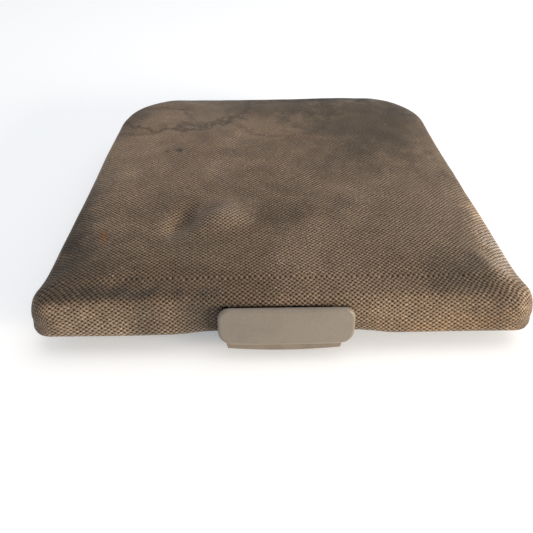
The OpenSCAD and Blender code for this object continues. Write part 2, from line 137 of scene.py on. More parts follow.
def pad_profile(skin):
    """(inset, z, share) of each line round the pad, from the tuck's underside to the middle of the top,
    standing in by skin all over."""
    turn = TUCK - skin
    lines = [(skin + turn * (1 - math.sin(math.radians(a))), WIDEST_Z - turn * math.cos(math.radians(a)), 1)
             for a in (0, 22, 45, 67)]
    rise = EDGE_TOP - skin - WIDEST_Z
    for t in (0, 0.1, 0.2, 0.3, 0.4, 0.5, 0.6, 0.68, 0.76, 0.83, 0.89, 0.94, 0.975, 1):
        lines.append((skin + side_inset(t), WIDEST_Z + rise * t, 1))
    lines += [(skin + side_inset(1), EDGE_TOP - skin, share) for share in (0.985, 0.965)]
    return lines


RIM = sorted((math.atan2(p.y, p.x), p.length) for p, _ in lid_outline(side_inset(1)))
RIM_ANGLES = [angle for angle, _ in RIM]


def crown(x, y):
    """Rise of the crowned top at a place, nothing at the rim of the top."""
    i = bisect.bisect(RIM_ANGLES, math.atan2(y, x)) % len(RIM)
    (a0, r0), (a1, r1) = RIM[i - 1], RIM[i]
    t = (math.atan2(y, x) - a0) / (a1 - a0) if i and a1 > a0 else 0.5
    share = math.hypot(x, y) / (r0 + (r1 - r0) * t)
    return CROWN * max(0.0, 1 - share * share)


# ---------------------------------------------------------------- how the pad has settled

def sag(x, y):
    """Height added to the top by use: a hollow beside a bump, and broad shallow dips."""
    lift = -0.0050 * bell(x, y, (-0.0585, -0.0570), (0.015, 0.0072), 62)
    lift += 0.0036 * bell(x, y, (-0.034, -0.054), (0.018, 0.012), 8)
    lift -= 0.0016 * bell(x, y, (0.001, -0.057), (0.020, 0.014))
    lift -= 0.0018 * bell(x, y, (0.030, 0.010), (0.075, 0.060))
    lift += 0.0007 * bell(x, y, (0.070, -0.070), (0.040, 0.030))
    lift += 0.0016 * bell(x, y, (0.060, 0.108), (0.070, 0.030))
    lift -= 0.0008 * bell(x, y, (-0.095, -0.070), (0.020, 0.035))
    lift += 0.0006 * noise.noise(Vector((x * 28, y * 28, 3.1)))
    lift += 0.0003 * noise.noise(Vector((x * 75, y * 75, 8.4)))
    return lift


def settle(p, out, weight):
    """Moves a point of the pad by its wear: sag on the top, a faint ripple round the side."""
    ripple = 0.0004 * noise.noise(Vector((p.x * 22, p.y * 22, p.z * 30)))
    # The two front corners are fuller than the sides.
    corner = bell(abs(p.x), p.y, (0.132, FRONT_Y + 0.008), (0.015, 0.015))
    ripple += 0.0026 * corner * eased((p.z - WIDEST_Z) / 0.010)
    return Vector((p.x + out.x * ripple, p.y + out.y * ripple, p.z + weight * sag(p.x, p.y)))


def arch_lift(x, y):
    """The lower edge rises beside the latch."""
    if y > FRONT_Y + 0.030:
        return 0.0
    return ARCH_RISE * eased((ARCH_HALF - abs(x)) / 0.026)


def wrapped_rings(lines, skin):
    """The pad's rings as points, with each point's place on the flat cloth."""
    rings = []
    run = 0.0
    arc, previous = {}, None
    for inset, z, share in reversed(lines):
        step = 0 if previous is None or share < 1 else math.hypot(inset - previous[0], z - previous[1])
        run = run + step
        arc[(inset, z, share)] = run
        previous = (inset, z)
    top_inset = skin + side_inset(1)
    for inset, z, share in lines:
        ring = []
        for (p, out), (q, _) in zip(lid_outline(inset), lid_outline(top_inset)):
            at = Vector((p.x * share, p.y * share, z))
            if share < 1:
                at.z += crown(at.x, at.y)
            if share < 1 or z > EDGE_TOP - 0.002:
                weight = 1.0
            else:
                weight = eased((z - WIDEST_Z) / (EDGE_TOP - WIDEST_Z))
            low = 1 - eased((z - WIDEST_Z) / 0.006)
            at = settle(at, out, weight)
            at.z += arch_lift(at.x, at.y) * low
            flat = Vector((q.x * share, q.y * share)) + out * (arc[(inset, z, share)] if share == 1 else 0)
            ring.append((at, flat))
        rings.append(ring)
    return rings


def ring_mesh(bm, rings, uv_layer=None, pitch=0.004, skin=0.0):
    """Extrudes the first ring through all the others, closes the top with an even grid, and shapes it."""
    loop = [bm.verts.new(at) for at, _ in rings[0]]
    edges = [bm.edges.new((a, b)) for a, b in zip(loop, loop[1:] + loop[:1])]
    flat_of = {v: flat for v, (_, flat) in zip(loop, rings[0])}
    for ring in rings[1:]:
        made = bmesh.ops.extrude_edge_only(bm, edges=edges)["geom"]
        fresh = {g for g in made if isinstance(g, bmesh.types.BMVert)}
        above = {}
        for face in (g for g in made if isinstance(g, bmesh.types.BMFace)):
            for edge in face.edges:
                a, b = edge.verts
                if (a in fresh) != (b in fresh):
                    above[b if a in fresh else a] = a if a in fresh else b
        edges = [g for g in made if isinstance(g, bmesh.types.BMEdge) and all(v in fresh for v in g.verts)]
        loop = [above[v] for v in loop]
        for v, (at, flat) in zip(loop, ring):
            v.co = at
            flat_of[v] = flat
    top = bm.faces.layers.int.new("top")
    for face in bmesh.ops.contextual_create(bm, geom=edges)["faces"]:
        face[top] = 1
    if uv_layer is not None:
        for face in bm.faces:
            for corner in face.loops:
                corner[uv_layer].uv = flat_of[corner.vert]
    for way, reach in ((Vector((1, 0, 0)), HALF_WIDTH), (Vector((0, 1, 0)), REAR_Y)):
        count = int(reach / pitch)
        for k in range(-count, count + 1):
            faces = [f for f in bm.faces if f[top]]
            parts = faces + list({e for f in faces for e in f.edges}) + list({v for f in faces for v in f.verts})
            bmesh.ops.bisect_plane(bm, geom=parts, plane_co=way * (k * pitch + 0.0007), plane_no=way, dist=0.0001)
    for v in {v for f in bm.faces if f[top] for v in f.verts}:
        if all(f[top] for f in v.link_faces):
            v.co.z = EDGE_TOP - skin + crown(v.co.x, v.co.y) + sag(v.co.x, v.co.y)
            v.co += swell(v.co)


def finished(name, bm, material, body, sharp_above=None):
    """Makes the piece from its bmesh, gives it its finish and lets it ride on its body."""
    mesh = bpy.data.meshes.new(name)
    bm.to_mesh(mesh)
    bm.free()
    mesh.materials.append(material)
    piece = bpy.data.objects.new(name, mesh)
    bpy.context.scene.collection.objects.link(piece)
    mesh.shade_smooth()
    if sharp_above is not None:
        mesh.set_sharp_from_angle(angle=math.radians(sharp_above))
    if body:
        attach(piece, body)
    return piece


def add_modifier(piece, kind, name, **values):
    modifier = piece.modifiers.new(name, kind)
    for key, value in values.items():
        setattr(modifier, key, value)
    return modifier


def apply_modifiers(piece):
    """Replaces the piece's mesh by what its modifiers make of it."""
    graph = bpy.context.evaluated_depsgraph_get()
    made = bpy.data.meshes.new_from_object(piece.evaluated_get(graph))
    piece.modifiers.clear()
    piece.data = made


# ---------------------------------------------------------------- colours and shader helpers

def linear(r, g, b):
    """A screen colour, 0 to 255 a channel, as the shader's own numbers."""
    def one(c):
        c /= 255
        return c / 12.92 if c <= 0.04045 else ((c + 0.055) / 1.055) ** 2.4
    return (one(r), one(g), one(b), 1.0)


class Shader:
    """A few words for laying out shader nodes in a material or a node group."""

    def __init__(self, tree):
        self.tree = tree

    def add(self, kind, inputs=None, **settings):
        made = self.tree.nodes.new(kind)
        for key, value in settings.items():
            setattr(made, key, value)
        for key, value in (inputs or {}).items():
            self.feed(made.inputs[key], value)
        return made

    def feed(self, socket, value):
        if isinstance(value, bpy.types.NodeSocket):
            self.tree.links.new(value, socket)
        else:
            socket.default_value = value

    def math(self, operation, a, b=0.0, clamp=False):
        made = self.add("ShaderNodeMath", operation=operation, use_clamp=clamp)
        self.feed(made.inputs[0], a)
        self.feed(made.inputs[1], b)
        return made.outputs[0]

    def ramp(self, value, low, high, out_low=0.0, out_high=1.0):
        made = self.add("ShaderNodeMapRange", interpolation_type="SMOOTHSTEP")
        for socket, v in zip(("Value", "From Min", "From Max", "To Min", "To Max"),
                             (value, low, high, out_low, out_high)):
            self.feed(made.inputs[socket], v)
        return made.outputs["Result"]

    def noise(self, vector, scale, detail=2.0, roughness=0.5, distortion=0.0):
        made = self.add("ShaderNodeTexNoise", {"Scale": scale, "Detail": detail,
                                               "Roughness": roughness, "Distortion": distortion})
        self.feed(made.inputs["Vector"], vector)
        return made.outputs["Fac"]

    def mix(self, factor, a, b, blend="MIX"):
        made = self.add("ShaderNodeMix", data_type="RGBA", blend_type=blend)
        self.feed(made.inputs["Factor"], factor)
        self.feed(made.inputs[6], a)
        self.feed(made.inputs[7], b)
        return made.outputs[2]

    def group(self, tree, inputs):
        made = self.add("ShaderNodeGroup", node_tree=tree)
        for key, value in inputs.items():
            self.feed(made.inputs[key], value)
        return made.outputs


def new_group(name, inputs, outputs):
    """A shader node group with named sockets; returns it, its helper, and its two ends."""
    tree = bpy.data.node_groups.new(name, "ShaderNodeTree")
    for socket, kind, value in inputs:
        made = tree.interface.new_socket(socket, in_out="INPUT", socket_type=kind)
        if value is not None:
            made.default_value = value
    for socket, kind in outputs:
        tree.interface.new_socket(socket, in_out="OUTPUT", socket_type=kind)
    shader = Shader(tree)
    start = tree.nodes.new("NodeGroupInput")
    end = tree.nodes.new("NodeGroupOutput")
    return tree, shader, start.outputs, end.inputs


FLOAT, VECTOR = "NodeSocketFloat", "NodeSocketVector"


def make_weave():
    """Small raised yarn crossings in diagonal rows, with a dark pit between each four."""
    tree, s, given, out = new_group(
        "diagonal weave",
        [("Vector", VECTOR, None), ("Across", FLOAT, 0.003), ("Along", FLOAT, 0.0025), ("Wander", FLOAT, 0.15)],
        [("Height", FLOAT), ("Pits", FLOAT), ("Yarn", FLOAT)])
    drift = s.add("ShaderNodeTexNoise", {"Scale": 460.0, "Detail": 2.0}, noise_dimensions="3D")
    s.feed(drift.inputs["Vector"], given["Vector"])
    centred = s.add("ShaderNodeVectorMath", operation="SUBTRACT")
    s.feed(centred.inputs[0], drift.outputs["Color"])
    centred.inputs[1].default_value = (0.5, 0.5, 0.5)
    shift = s.add("ShaderNodeVectorMath", operation="SCALE")
    s.feed(shift.inputs[0], centred.outputs[0])
    s.feed(shift.inputs["Scale"], s.math("MULTIPLY", given["Wander"], given["Along"]))
    moved = s.add("ShaderNodeVectorMath", operation="ADD")
    s.feed(moved.inputs[0], given["Vector"])
    s.feed(moved.inputs[1], shift.outputs[0])
    parts = s.add("ShaderNodeSeparateXYZ")
    s.feed(parts.inputs[0], moved.outputs[0])
    across = s.math("DIVIDE", parts.outputs["X"], given["Across"])
    along = s.math("DIVIDE", parts.outputs["Y"], given["Along"])
    waves = []
    for way in ("ADD", "SUBTRACT"):
        waves.append(s.math("SINE", s.math("MULTIPLY", s.math(way, across, along), 2 * math.pi)))
    both = s.math("ADD", waves[0], waves[1])
    cross = s.math("MULTIPLY", waves[0], waves[1])
    height = s.math("ADD", s.math("MULTIPLY", both, 0.30), s.math("MULTIPLY", cross, 0.12))
    fibres = s.noise(moved.outputs[0], 2600.0, 3.0, 0.6)
    s.feed(out["Height"], s.math("ADD", height, s.math("MULTIPLY", fibres, 0.30)))
    own = s.ramp(s.noise(given["Vector"], 760.0, 2.0, 0.6), 0.36, 0.64, 0.05, 1.25)
    s.feed(out["Pits"], s.ramp(s.math("MULTIPLY", both, -1.0), 0.15, 1.55))
    s.feed(out["Yarn"], s.math("MULTIPLY", s.ramp(both, 0.4, 1.8), own))
    return tree


def make_spot():
    """A soft-edged patch: 1 inside, 0 outside, with a wandering edge."""
    tree, s, given, out = new_group(
        "soft patch", [("Vector", VECTOR, None), ("Centre", VECTOR, (0, 0, 0)), ("Size", VECTOR, (0.01, 0.01, 1)),
                       ("Wander", FLOAT, 0.0), ("Softness", FLOAT, 0.8)], [("Mask", FLOAT), ("Rim", FLOAT)])
    apart = s.add("ShaderNodeVectorMath", operation="SUBTRACT")
    s.feed(apart.inputs[0], given["Vector"])
    s.feed(apart.inputs[1], given["Centre"])
    scaled = s.add("ShaderNodeVectorMath", operation="DIVIDE")
    s.feed(scaled.inputs[0], apart.outputs[0])
    s.feed(scaled.inputs[1], given["Size"])
    far = s.add("ShaderNodeVectorMath", operation="LENGTH")
    s.feed(far.inputs[0], scaled.outputs[0])
    reach = s.math("ADD", far.outputs["Value"], given["Wander"])
    s.feed(out["Mask"], s.ramp(reach, s.math("SUBTRACT", 1.0, given["Softness"]), 1.0, 1.0, 0.0))
    # A thin line where the patch ends, sharp outside and fading inwards.
    past = s.ramp(reach, 0.97, 1.03, 1.0, 0.0)
    s.feed(out["Rim"], s.math("MULTIPLY", past, s.ramp(reach, 0.80, 1.0)))
    return tree


def make_grain():
    """The fine even grain of a moulded plastic face, with faint handling marks."""
    tree, s, given, out = new_group(
        "moulded grain", [("Vector", VECTOR, None), ("Grain size", FLOAT, 0.0004), ("Marks", FLOAT, 0.5)],
        [("Height", FLOAT), ("Speckle", FLOAT), ("Smudge", FLOAT)])
    scale = s.math("DIVIDE", 1.0, given["Grain size"])
    fine = s.add("ShaderNodeTexNoise", {"Detail": 2.0, "Roughness": 0.55})
    s.feed(fine.inputs["Vector"], given["Vector"])
    s.feed(fine.inputs["Scale"], scale)
    s.feed(out["Height"], fine.outputs["Fac"])
    s.feed(out["Speckle"], s.ramp(fine.outputs["Fac"], 0.38, 0.66))
    broad = s.noise(given["Vector"], 55.0, 5.0, 0.62, 0.4)
    s.feed(out["Smudge"], s.math("MULTIPLY", s.ramp(broad, 0.42, 0.72), given["Marks"]))
    return tree


def make_dust():
    """Dust that lies on faces that look up, thicker in patches."""
    tree, s, given, out = new_group("settled dust", [("Vector", VECTOR, None), ("Amount", FLOAT, 0.5)],
                                    [("Mask", FLOAT)])
    facing = s.add("ShaderNodeSeparateXYZ")
    s.feed(facing.inputs[0], s.add("ShaderNodeNewGeometry").outputs["Normal"])
    up = s.ramp(facing.outputs["Z"], 0.2, 1.0)
    patchy = s.ramp(s.noise(given["Vector"], 90.0, 5.0, 0.65), 0.35, 0.75)
    s.feed(out["Mask"], s.math("MULTIPLY", s.math("MULTIPLY", up, patchy), given["Amount"]))
    return tree


WEAVE = make_weave()
SPOT = make_spot()
GRAIN = make_grain()
DUST = make_dust()


def new_material(name, **constants):
    """A material with its Principled shader; constants are set on the shader's own sockets."""
    material = bpy.data.materials.new(name)
    material.use_nodes = True
    s = Shader(material.node_tree)
    principled = material.node_tree.nodes["Principled BSDF"]
    for socket, value in constants.items():
        principled.inputs[socket.replace("_", " ")].default_value = value
    return material, s, principled


def object_place(s):
    """Each point's own place on the piece, in metres."""
    return s.add("ShaderNodeTexCoord").outputs["Object"]


def worn_cloth():
    """Taupe woven upholstery, worn smooth towards the back, with tide lines, dark patches, and painted light and
    shade on its rolls, front face, hollow and weave.
    """
    material, s, principled = new_material("worn taupe cloth", Roughness=0.92, Sheen_Weight=0.18,
                                           Sheen_Roughness=0.45)
    principled.inputs["Specular IOR Level"].default_value = 0.22
    flat = s.add("ShaderNodeUVMap", uv_map="flat cloth").outputs["UV"]
    place = object_place(s)
    askew = s.add("ShaderNodeMapping")
    askew.inputs["Rotation"].default_value = (0, 0, -WEAVE_TURN)
    s.feed(askew.inputs["Vector"], flat)
    weave = s.group(WEAVE, {"Vector": askew.outputs[0], "Across": WEAVE_ACROSS, "Along": WEAVE_ALONG,
                            "Wander": 0.55})

    wander = s.math("MULTIPLY", s.math("SUBTRACT", s.noise(place, 110.0, 4.0, 0.6), 0.5), 1.2)

    def spot(centre, size, softness=0.8):
        return s.group(SPOT, {"Vector": place, "Centre": (centre[0], centre[1], 0.03),
                              "Size": (size[0], size[1], 1.0), "Wander": wander, "Softness": softness})["Mask"]

    split = s.add("ShaderNodeSeparateXYZ")
    s.feed(split.inputs[0], place)
    # 1 at the front edge, where the weave is open, falling to a felted back.
    crisp = s.ramp(s.math("ADD", split.outputs["Y"], s.math("MULTIPLY", s.noise(place, 22.0, 3.0), 0.05)),
                   -0.02, 0.12, 1.0, 0.50)
    broad = s.noise(place, 16.0, 5.0, 0.6, 0.6)
    blotch = s.noise(place, 60.0, 5.0, 0.65)

    colour = s.mix(s.ramp(broad, 0.32, 0.68), linear(98, 80, 64), linear(128, 107, 86))
    colour = s.mix(s.math("MULTIPLY", s.ramp(blotch, 0.40, 0.70), 0.30), colour, linear(86, 75, 63))

    # Broad changes of tone on the top: darker at the front left and the back right, lighter at the left; the two
    # strips along the back edge are painted shade.
    top = s.ramp(split.outputs["Z"], 0.0335, 0.0380)
    for centre, size, factor in [((0.080, 0.068), (0.095, 0.095), 0.50),
                                 ((0.000, 0.094), (0.075, 0.032), 0.55),
                                 # Painted shade along the back edge:
                                 ((0.000, 0.118), (0.150, 0.016), 0.62),
                                 ((0.045, 0.116), (0.090, 0.015), 0.48),
                                 ((0.104, 0.092), (0.026, 0.030), 0.62),
                                 ((-0.075, 0.006), (0.085, 0.105), 1.38),
                                 ((-0.085, 0.114), (0.065, 0.020), 1.30),
                                 ((-0.118, -0.105), (0.060, 0.060), 0.45),
                                 ((-0.060, -0.076), (0.045, 0.022), 0.82),
                                 ((-0.002, -0.054), (0.026, 0.022), 0.62),
                                 ((0.088, -0.040), (0.050, 0.095), 0.85)]:
        colour = s.mix(s.math("MULTIPLY", spot(centre, size), top), colour, (factor, factor, factor, 1), "MULTIPLY")
    # Painted light and shade round the sides: the right roll and the front face painted lighter where the warm
    # window lights them, the left roll and the back roll painted darker in shade, a lighter patch further back on
    # the left side, and darker patches towards the front face's ends.
    # Painted light on the right roll:
    for centre, size, factor in [((0.131, -0.074), (0.020, 0.060), 2.65),
                                 # A lighter patch further back on the left side:
                                 ((-0.134, 0.030), (0.014, 0.050), 1.20),
                                 # Painted shade on the left roll:
                                 ((-0.131, -0.048), (0.021, 0.062), 0.46),
                                 # Painted light on the front face:
                                 ((0.000, -0.130), (0.260, 0.014), 1.32),
                                 ((-0.105, -0.128), (0.050, 0.010), 1.25),
                                 # Darker patches towards the front face's ends:
                                 ((-0.048, -0.127), (0.022, 0.012), 0.85),
                                 ((0.134, -0.128), (0.026, 0.012), 0.86),
                                 ((-0.076, -0.130), (0.022, 0.012), 0.78),
                                 # Painted shade on the back roll:
                                 ((0.050, 0.126), (0.100, 0.018), 0.58)]:
        colour = s.mix(spot(centre, size), colour, (factor, factor * 1.02, factor * 1.04, 1), "MULTIPLY")
    # Painted warm light on the right of the front face, and the right roll's painted light tinted cooler.
    colour = s.mix(spot((0.100, -0.131), (0.075, 0.010)), colour, (1.08, 1.00, 0.84, 1), "MULTIPLY")
    colour = s.mix(spot((0.132, -0.080), (0.016, 0.045)), colour, (0.88, 1.00, 1.22, 1), "MULTIPLY")

    # Spots with their own colour on the top: soiled spots and paler patches, painted shade on the hollow's dark
    # flank, and painted light on the bump and the hollow's lit wall.
    for centre, size, strength, tone in [((0.098, -0.104), (0.030, 0.028), 0.55, (70, 62, 54)),
                                         ((0.035, 0.060), (0.034, 0.018), 0.55, (70, 60, 50)),
                                         ((-0.095, -0.117), (0.055, 0.008), 0.60, (60, 55, 50)),
                                         # Painted shade on the hollow's flank, then painted light on the bump's top
                                         # and on the hollow's left wall:
                                         ((-0.055, -0.055), (0.008, 0.012), 0.50, (66, 59, 50)),
                                         ((-0.032, -0.056), (0.018, 0.012), 0.40, (144, 126, 107)),
                                         ((-0.067, -0.064), (0.008, 0.011), 0.40, (140, 118, 94)),
                                         ((-0.050, 0.068), (0.040, 0.028), 0.35, (128, 113, 98)),
                                         ((-0.072, 0.116), (0.070, 0.014), 0.50, (108, 101, 88))]:
        colour = s.mix(s.math("MULTIPLY", s.math("MULTIPLY", spot(centre, size), top), strength), colour,
                       linear(*tone))
    # Darker patches on the front face, left of the latch.
    for centre, size, strength, tone in [((-0.042, -0.124), (0.024, 0.016), 0.45, (66, 62, 56)),
                                         ((-0.076, -0.124), (0.012, 0.008), 0.30, (70, 64, 54))]:
        colour = s.mix(s.math("MULTIPLY", spot(centre, size), strength), colour, linear(*tone))

    # Brown tide lines where wet cloth dried.
    for centre, size, strength in [((-0.075, 0.108), (0.060, 0.054), 0.75), ((0.004, 0.076), (0.042, 0.033), 0.45),
                                   ((-0.100, 0.075), (0.036, 0.024), 0.40)]:
        stain = s.group(SPOT, {"Vector": place, "Centre": (centre[0], centre[1], 0.03),
                               "Size": (size[0], size[1], 1.0),
                               "Wander": s.math("MULTIPLY", wander, 0.55), "Softness": 0.8})
        colour = s.mix(s.math("MULTIPLY", stain["Rim"], strength), colour, linear(66, 52, 41))

    # Small marks: a rust-brown fleck, two dark drops and pale lint.
    for centre, size, strength, tone in [((-0.106, -0.070), (0.004, 0.010), 0.75, (120, 80, 45)),
                                         ((-0.070, 0.026), (0.004, 0.004), 0.80, (58, 48, 39)),
                                         ((-0.079, 0.025), (0.003, 0.003), 0.60, (64, 54, 44)),
                                         ((0.022, 0.044), (0.030, 0.008), 0.40, (100, 72, 55)),
                                         ((-0.073, 0.092), (0.014, 0.002), 0.55, (70, 60, 50))]:
        colour = s.mix(s.math("MULTIPLY", spot(centre, size), strength), colour, linear(*tone))
    flecks = s.add("ShaderNodeTexVoronoi", {"Scale": 620.0, "Randomness": 1.0})
    s.feed(flecks.inputs["Vector"], place)
    dots = s.ramp(flecks.outputs["Distance"], 0.12, 0.30, 1.0, 0.0)
    near = s.math("MAXIMUM", spot((0.073, -0.016), (0.012, 0.010), 0.9),
                  s.math("MAXIMUM", spot((-0.004, -0.095), (0.010, 0.008), 0.9),
                         spot((0.060, -0.030), (0.020, 0.020), 0.9)))
    lone = s.ramp(s.noise(place, 420.0, 1.0), 0.72, 0.80)
    lint = s.math("MULTIPLY", dots, s.math("MAXIMUM", s.math("MULTIPLY", near, 0.7), lone), clamp=True)

    # Painted shade in the weave's pits and painted light on its yarn crossings, both strongest towards the front
    # edge.
    colour = s.mix(s.math("MULTIPLY", weave["Pits"], crisp), colour, linear(30, 22, 16))
    colour = s.mix(s.math("MULTIPLY", s.math("MULTIPLY", weave["Yarn"], crisp), 0.75), colour,
                   (2.20, 2.48, 2.85, 1), "MULTIPLY")
    # Single fibres, lighter and darker than their neighbours.
    fibre = s.ramp(s.noise(flat, 1500.0, 2.0, 0.7), 0.30, 0.70)
    colour = s.mix(1.0, colour, s.mix(fibre, (0.66, 0.66, 0.66, 1), (1.36, 1.36, 1.36, 1)), "MULTIPLY")
    colour = s.mix(s.math("MULTIPLY", lint, 0.8), colour, linear(205, 196, 180))
    s.feed(principled.inputs["Base Color"], colour)

    bump = s.add("ShaderNodeBump", {"Strength": 0.75, "Distance": 0.0004})
    s.feed(bump.inputs["Height"], s.math("MULTIPLY", weave["Height"], crisp))
    s.feed(principled.inputs["Normal"], bump.outputs[0])
    return material


def open_foam():
    """Yellowed open-cell foam."""
    material, s, principled = new_material("yellowed foam", Roughness=0.95)
    place = object_place(s)
    cells = s.add("ShaderNodeTexVoronoi", {"Scale": 900.0}, feature="SMOOTH_F1")
    s.feed(cells.inputs["Vector"], place)
    tone = s.mix(s.noise(place, 40.0, 4.0), linear(214, 190, 120), linear(188, 158, 92))
    pores = s.ramp(cells.outputs["Distance"], 0.2, 0.6)
    s.feed(principled.inputs["Base Color"], s.mix(pores, tone, linear(140, 112, 62)))
    bump = s.add("ShaderNodeBump", {"Strength": 0.6, "Distance": 0.0005})
    s.feed(bump.inputs["Height"], cells.outputs["Distance"])
    s.feed(principled.inputs["Normal"], bump.outputs[0])
    return material


def moulded_plastic(name, dark, light, roughness, grain_size=0.0004, depth=0.00006, marks=0.5, dust=0.0,
                    worn=(190, 180, 160), rim_highlight_heights=None):
    """Grained plastic, mottled between two close tones, with smudges, a little dust, and a painted highlight along
    the lower rim where asked.
    """
    material, s, principled = new_material(name)
    principled.inputs["Specular IOR Level"].default_value = 0.40
    place = object_place(s)
    grain = s.group(GRAIN, {"Vector": place, "Grain size": grain_size, "Marks": marks})
    colour = s.mix(grain["Speckle"], linear(*dark), linear(*light))
    colour = s.mix(s.math("MULTIPLY", grain["Smudge"], 0.5), colour, linear(*[c * 0.80 for c in dark]))
    if dust:
        settled = s.group(DUST, {"Vector": place, "Amount": dust})["Mask"]
        colour = s.mix(settled, colour, linear(*worn))
    # A painted highlight along the lower rim, in the same tone as the dust.
    if rim_highlight_heights:
        height = s.add("ShaderNodeSeparateXYZ")
        s.feed(height.inputs[0], place)
        low, high = rim_highlight_heights
        rim = s.math("MULTIPLY", s.ramp(height.outputs["Z"], high, low),
                     s.ramp(height.outputs["Z"], low - 0.001, low))
        colour = s.mix(s.math("MULTIPLY", rim, 0.6), colour, linear(*worn))
    s.feed(principled.inputs["Base Color"], colour)
    s.feed(principled.inputs["Roughness"],
           s.math("ADD", s.math("MULTIPLY", grain["Smudge"], 0.14), roughness))
    bump = s.add("ShaderNodeBump", {"Strength": 0.5, "Distance": depth})
    s.feed(bump.inputs["Height"], grain["Height"])
    s.feed(principled.inputs["Normal"], bump.outputs[0])
    return material


def plated_steel(name, light, dull, roughness, brushed=0.0, stain=(120, 96, 66), stained=0.25):
    """Zinc-plated or drawn steel: fine streaks along X, cloudy plating and a few dull stains."""
    material, s, principled = new_material(name, Metallic=1.0)
    place = object_place(s)
    stretch = s.add("ShaderNodeMapping")
    stretch.inputs["Scale"].default_value = (0.04, 1.0, 1.0)
    s.feed(stretch.inputs["Vector"], place)
    streaks = s.noise(stretch.outputs[0], 1800.0, 4.0, 0.6)
    cloud = s.noise(place, 70.0, 5.0, 0.6, 0.5)
    colour = s.mix(s.ramp(cloud, 0.35, 0.68), linear(*light), linear(*dull))
    marks = s.ramp(s.noise(place, 140.0, 6.0, 0.7), 0.60, 0.74)
    colour = s.mix(s.math("MULTIPLY", marks, stained), colour, linear(*stain))
    s.feed(principled.inputs["Base Color"], colour)
    rough = s.math("ADD", s.math("MULTIPLY", cloud, 0.18), roughness)
    s.feed(principled.inputs["Roughness"], s.math("ADD", rough, s.math("MULTIPLY", marks, 0.2)))
    bump = s.add("ShaderNodeBump", {"Strength": 0.25 + brushed, "Distance": 0.00003})
    s.feed(bump.inputs["Height"], streaks)
    s.feed(principled.inputs["Normal"], bump.outputs[0])
    return material


CLOTH = worn_cloth()
FOAM = open_foam()
# For the trim, the tone passed as worn is a painted highlight along the lever's lower rim; the trim has no dust.
TRIM = moulded_plastic("beige-grey trim plastic", (126, 117, 106), (136, 127, 116), 0.44, 0.00045, 0.00005, 0.45,
                       worn=(190, 178, 160), rim_highlight_heights=(CLOTH_Z + 0.0004, CLOTH_Z + 0.0016))
LIP = moulded_plastic("beige-grey hook plastic", (126, 114, 99), (136, 124, 109), 0.50, 0.00045, 0.00005, 0.6)
BLACK = moulded_plastic("charcoal moulding", (46, 43, 40), (56, 53, 49), 0.58, 0.0007, 0.00010, 0.6,
                        dust=0.35, worn=(120, 112, 100))
PANEL = moulded_plastic("charcoal panel", (50, 47, 44), (60, 57, 53), 0.55, 0.0009, 0.00014, 0.8,
                        dust=0.25, worn=(120, 112, 100))
RUBBER = moulded_plastic("black rubber", (24, 24, 24), (31, 31, 30), 0.78, 0.0006, 0.00005, 0.7)
NYLON = moulded_plastic("natural nylon", (222, 215, 196), (230, 225, 208), 0.38, 0.0008, 0.00003, 0.5)
ZINC = plated_steel("zinc-plated screws", (200, 190, 158), (176, 168, 150), 0.30)
SHEET = plated_steel("zinc-plated sheet", (186, 188, 188), (158, 160, 160), 0.34, 0.15)
STEEL = plated_steel("drawn steel", (170, 170, 170), (150, 150, 150), 0.24, 0.10, (110, 74, 46), 0.35)
SPRING = plated_steel("spring wire", (110, 110, 112), (84, 84, 86), 0.34)
BRASS = plated_steel("brass", (206, 164, 86), (178, 138, 72), 0.30, 0.05, (110, 84, 50), 0.3)


# ---------------------------------------------------------------- pad: foam and cloth

def unmoved(p):
    """Before the pad has swelled, nothing has moved."""
    return Vector()


def swell_of(lines):
    """Lets the pad swell under its own pressure as cloth, and returns how far each place moved."""
    bm = bmesh.new()
    rings = wrapped_rings(lines, 0.0)
    ring_mesh(bm, rings)
    bmesh.ops.contextual_create(bm, geom=[e for e in bm.edges if e.is_boundary])
    bmesh.ops.recalc_face_normals(bm, faces=bm.faces[:])
    bag = finished("swelling pad", bm, CLOTH, None)
    add_modifier(bag, "REMESH", "even mesh", mode="VOXEL", voxel_size=0.005)
    apply_modifiers(bag)
    before = [v.co.copy() for v in bag.data.vertices]
    held = bag.vertex_groups.new(name="held")
    held.add([i for i, co in enumerate(before) if co.z < WIDEST_Z + 0.003], 1.0, "REPLACE")
    cloth = bag.modifiers.new("swell", "CLOTH")
    cloth.settings.quality = 6
    cloth.settings.mass = 0.3
    cloth.settings.tension_stiffness = 18
    cloth.settings.compression_stiffness = 12
    cloth.settings.bending_stiffness = 2.0
    cloth.settings.use_pressure = True
    cloth.settings.uniform_pressure_force = 4.0
    cloth.settings.vertex_group_mass = "held"
    cloth.settings.effector_weights.gravity = 0.0
    cloth.point_cache.frame_start = 1
    cloth.point_cache.frame_end = 20
    scene = bpy.context.scene
    for f in range(1, 21):
        scene.frame_set(f)
    graph = bpy.context.evaluated_depsgraph_get()
    after = [v.co.copy() for v in bag.evaluated_get(graph).data.vertices]
    scene.frame_set(1)
    bpy.data.objects.remove(bag)
    tree = kdtree.KDTree(len(before))
    for i, co in enumerate(before):
        tree.insert(co, i)
    tree.balance()

    def swell(p):
        total, weights = Vector(), 0.0
        for _, i, far in tree.find_n(p, 6):
            w = 1 / (far + 0.0005)
            total += (after[i] - before[i]) * w
            weights += w
        move = total / weights
        return move if move.length < SWELL_LIMIT else move * (SWELL_LIMIT / move.length)
    return swell


swell = unmoved
swell = swell_of(pad_profile(0.0))


def swollen(rings):
    """The rings, moved out by the pad's own swelling."""
    return [[(at + swell(at), flat) for at, flat in ring] for ring in rings]


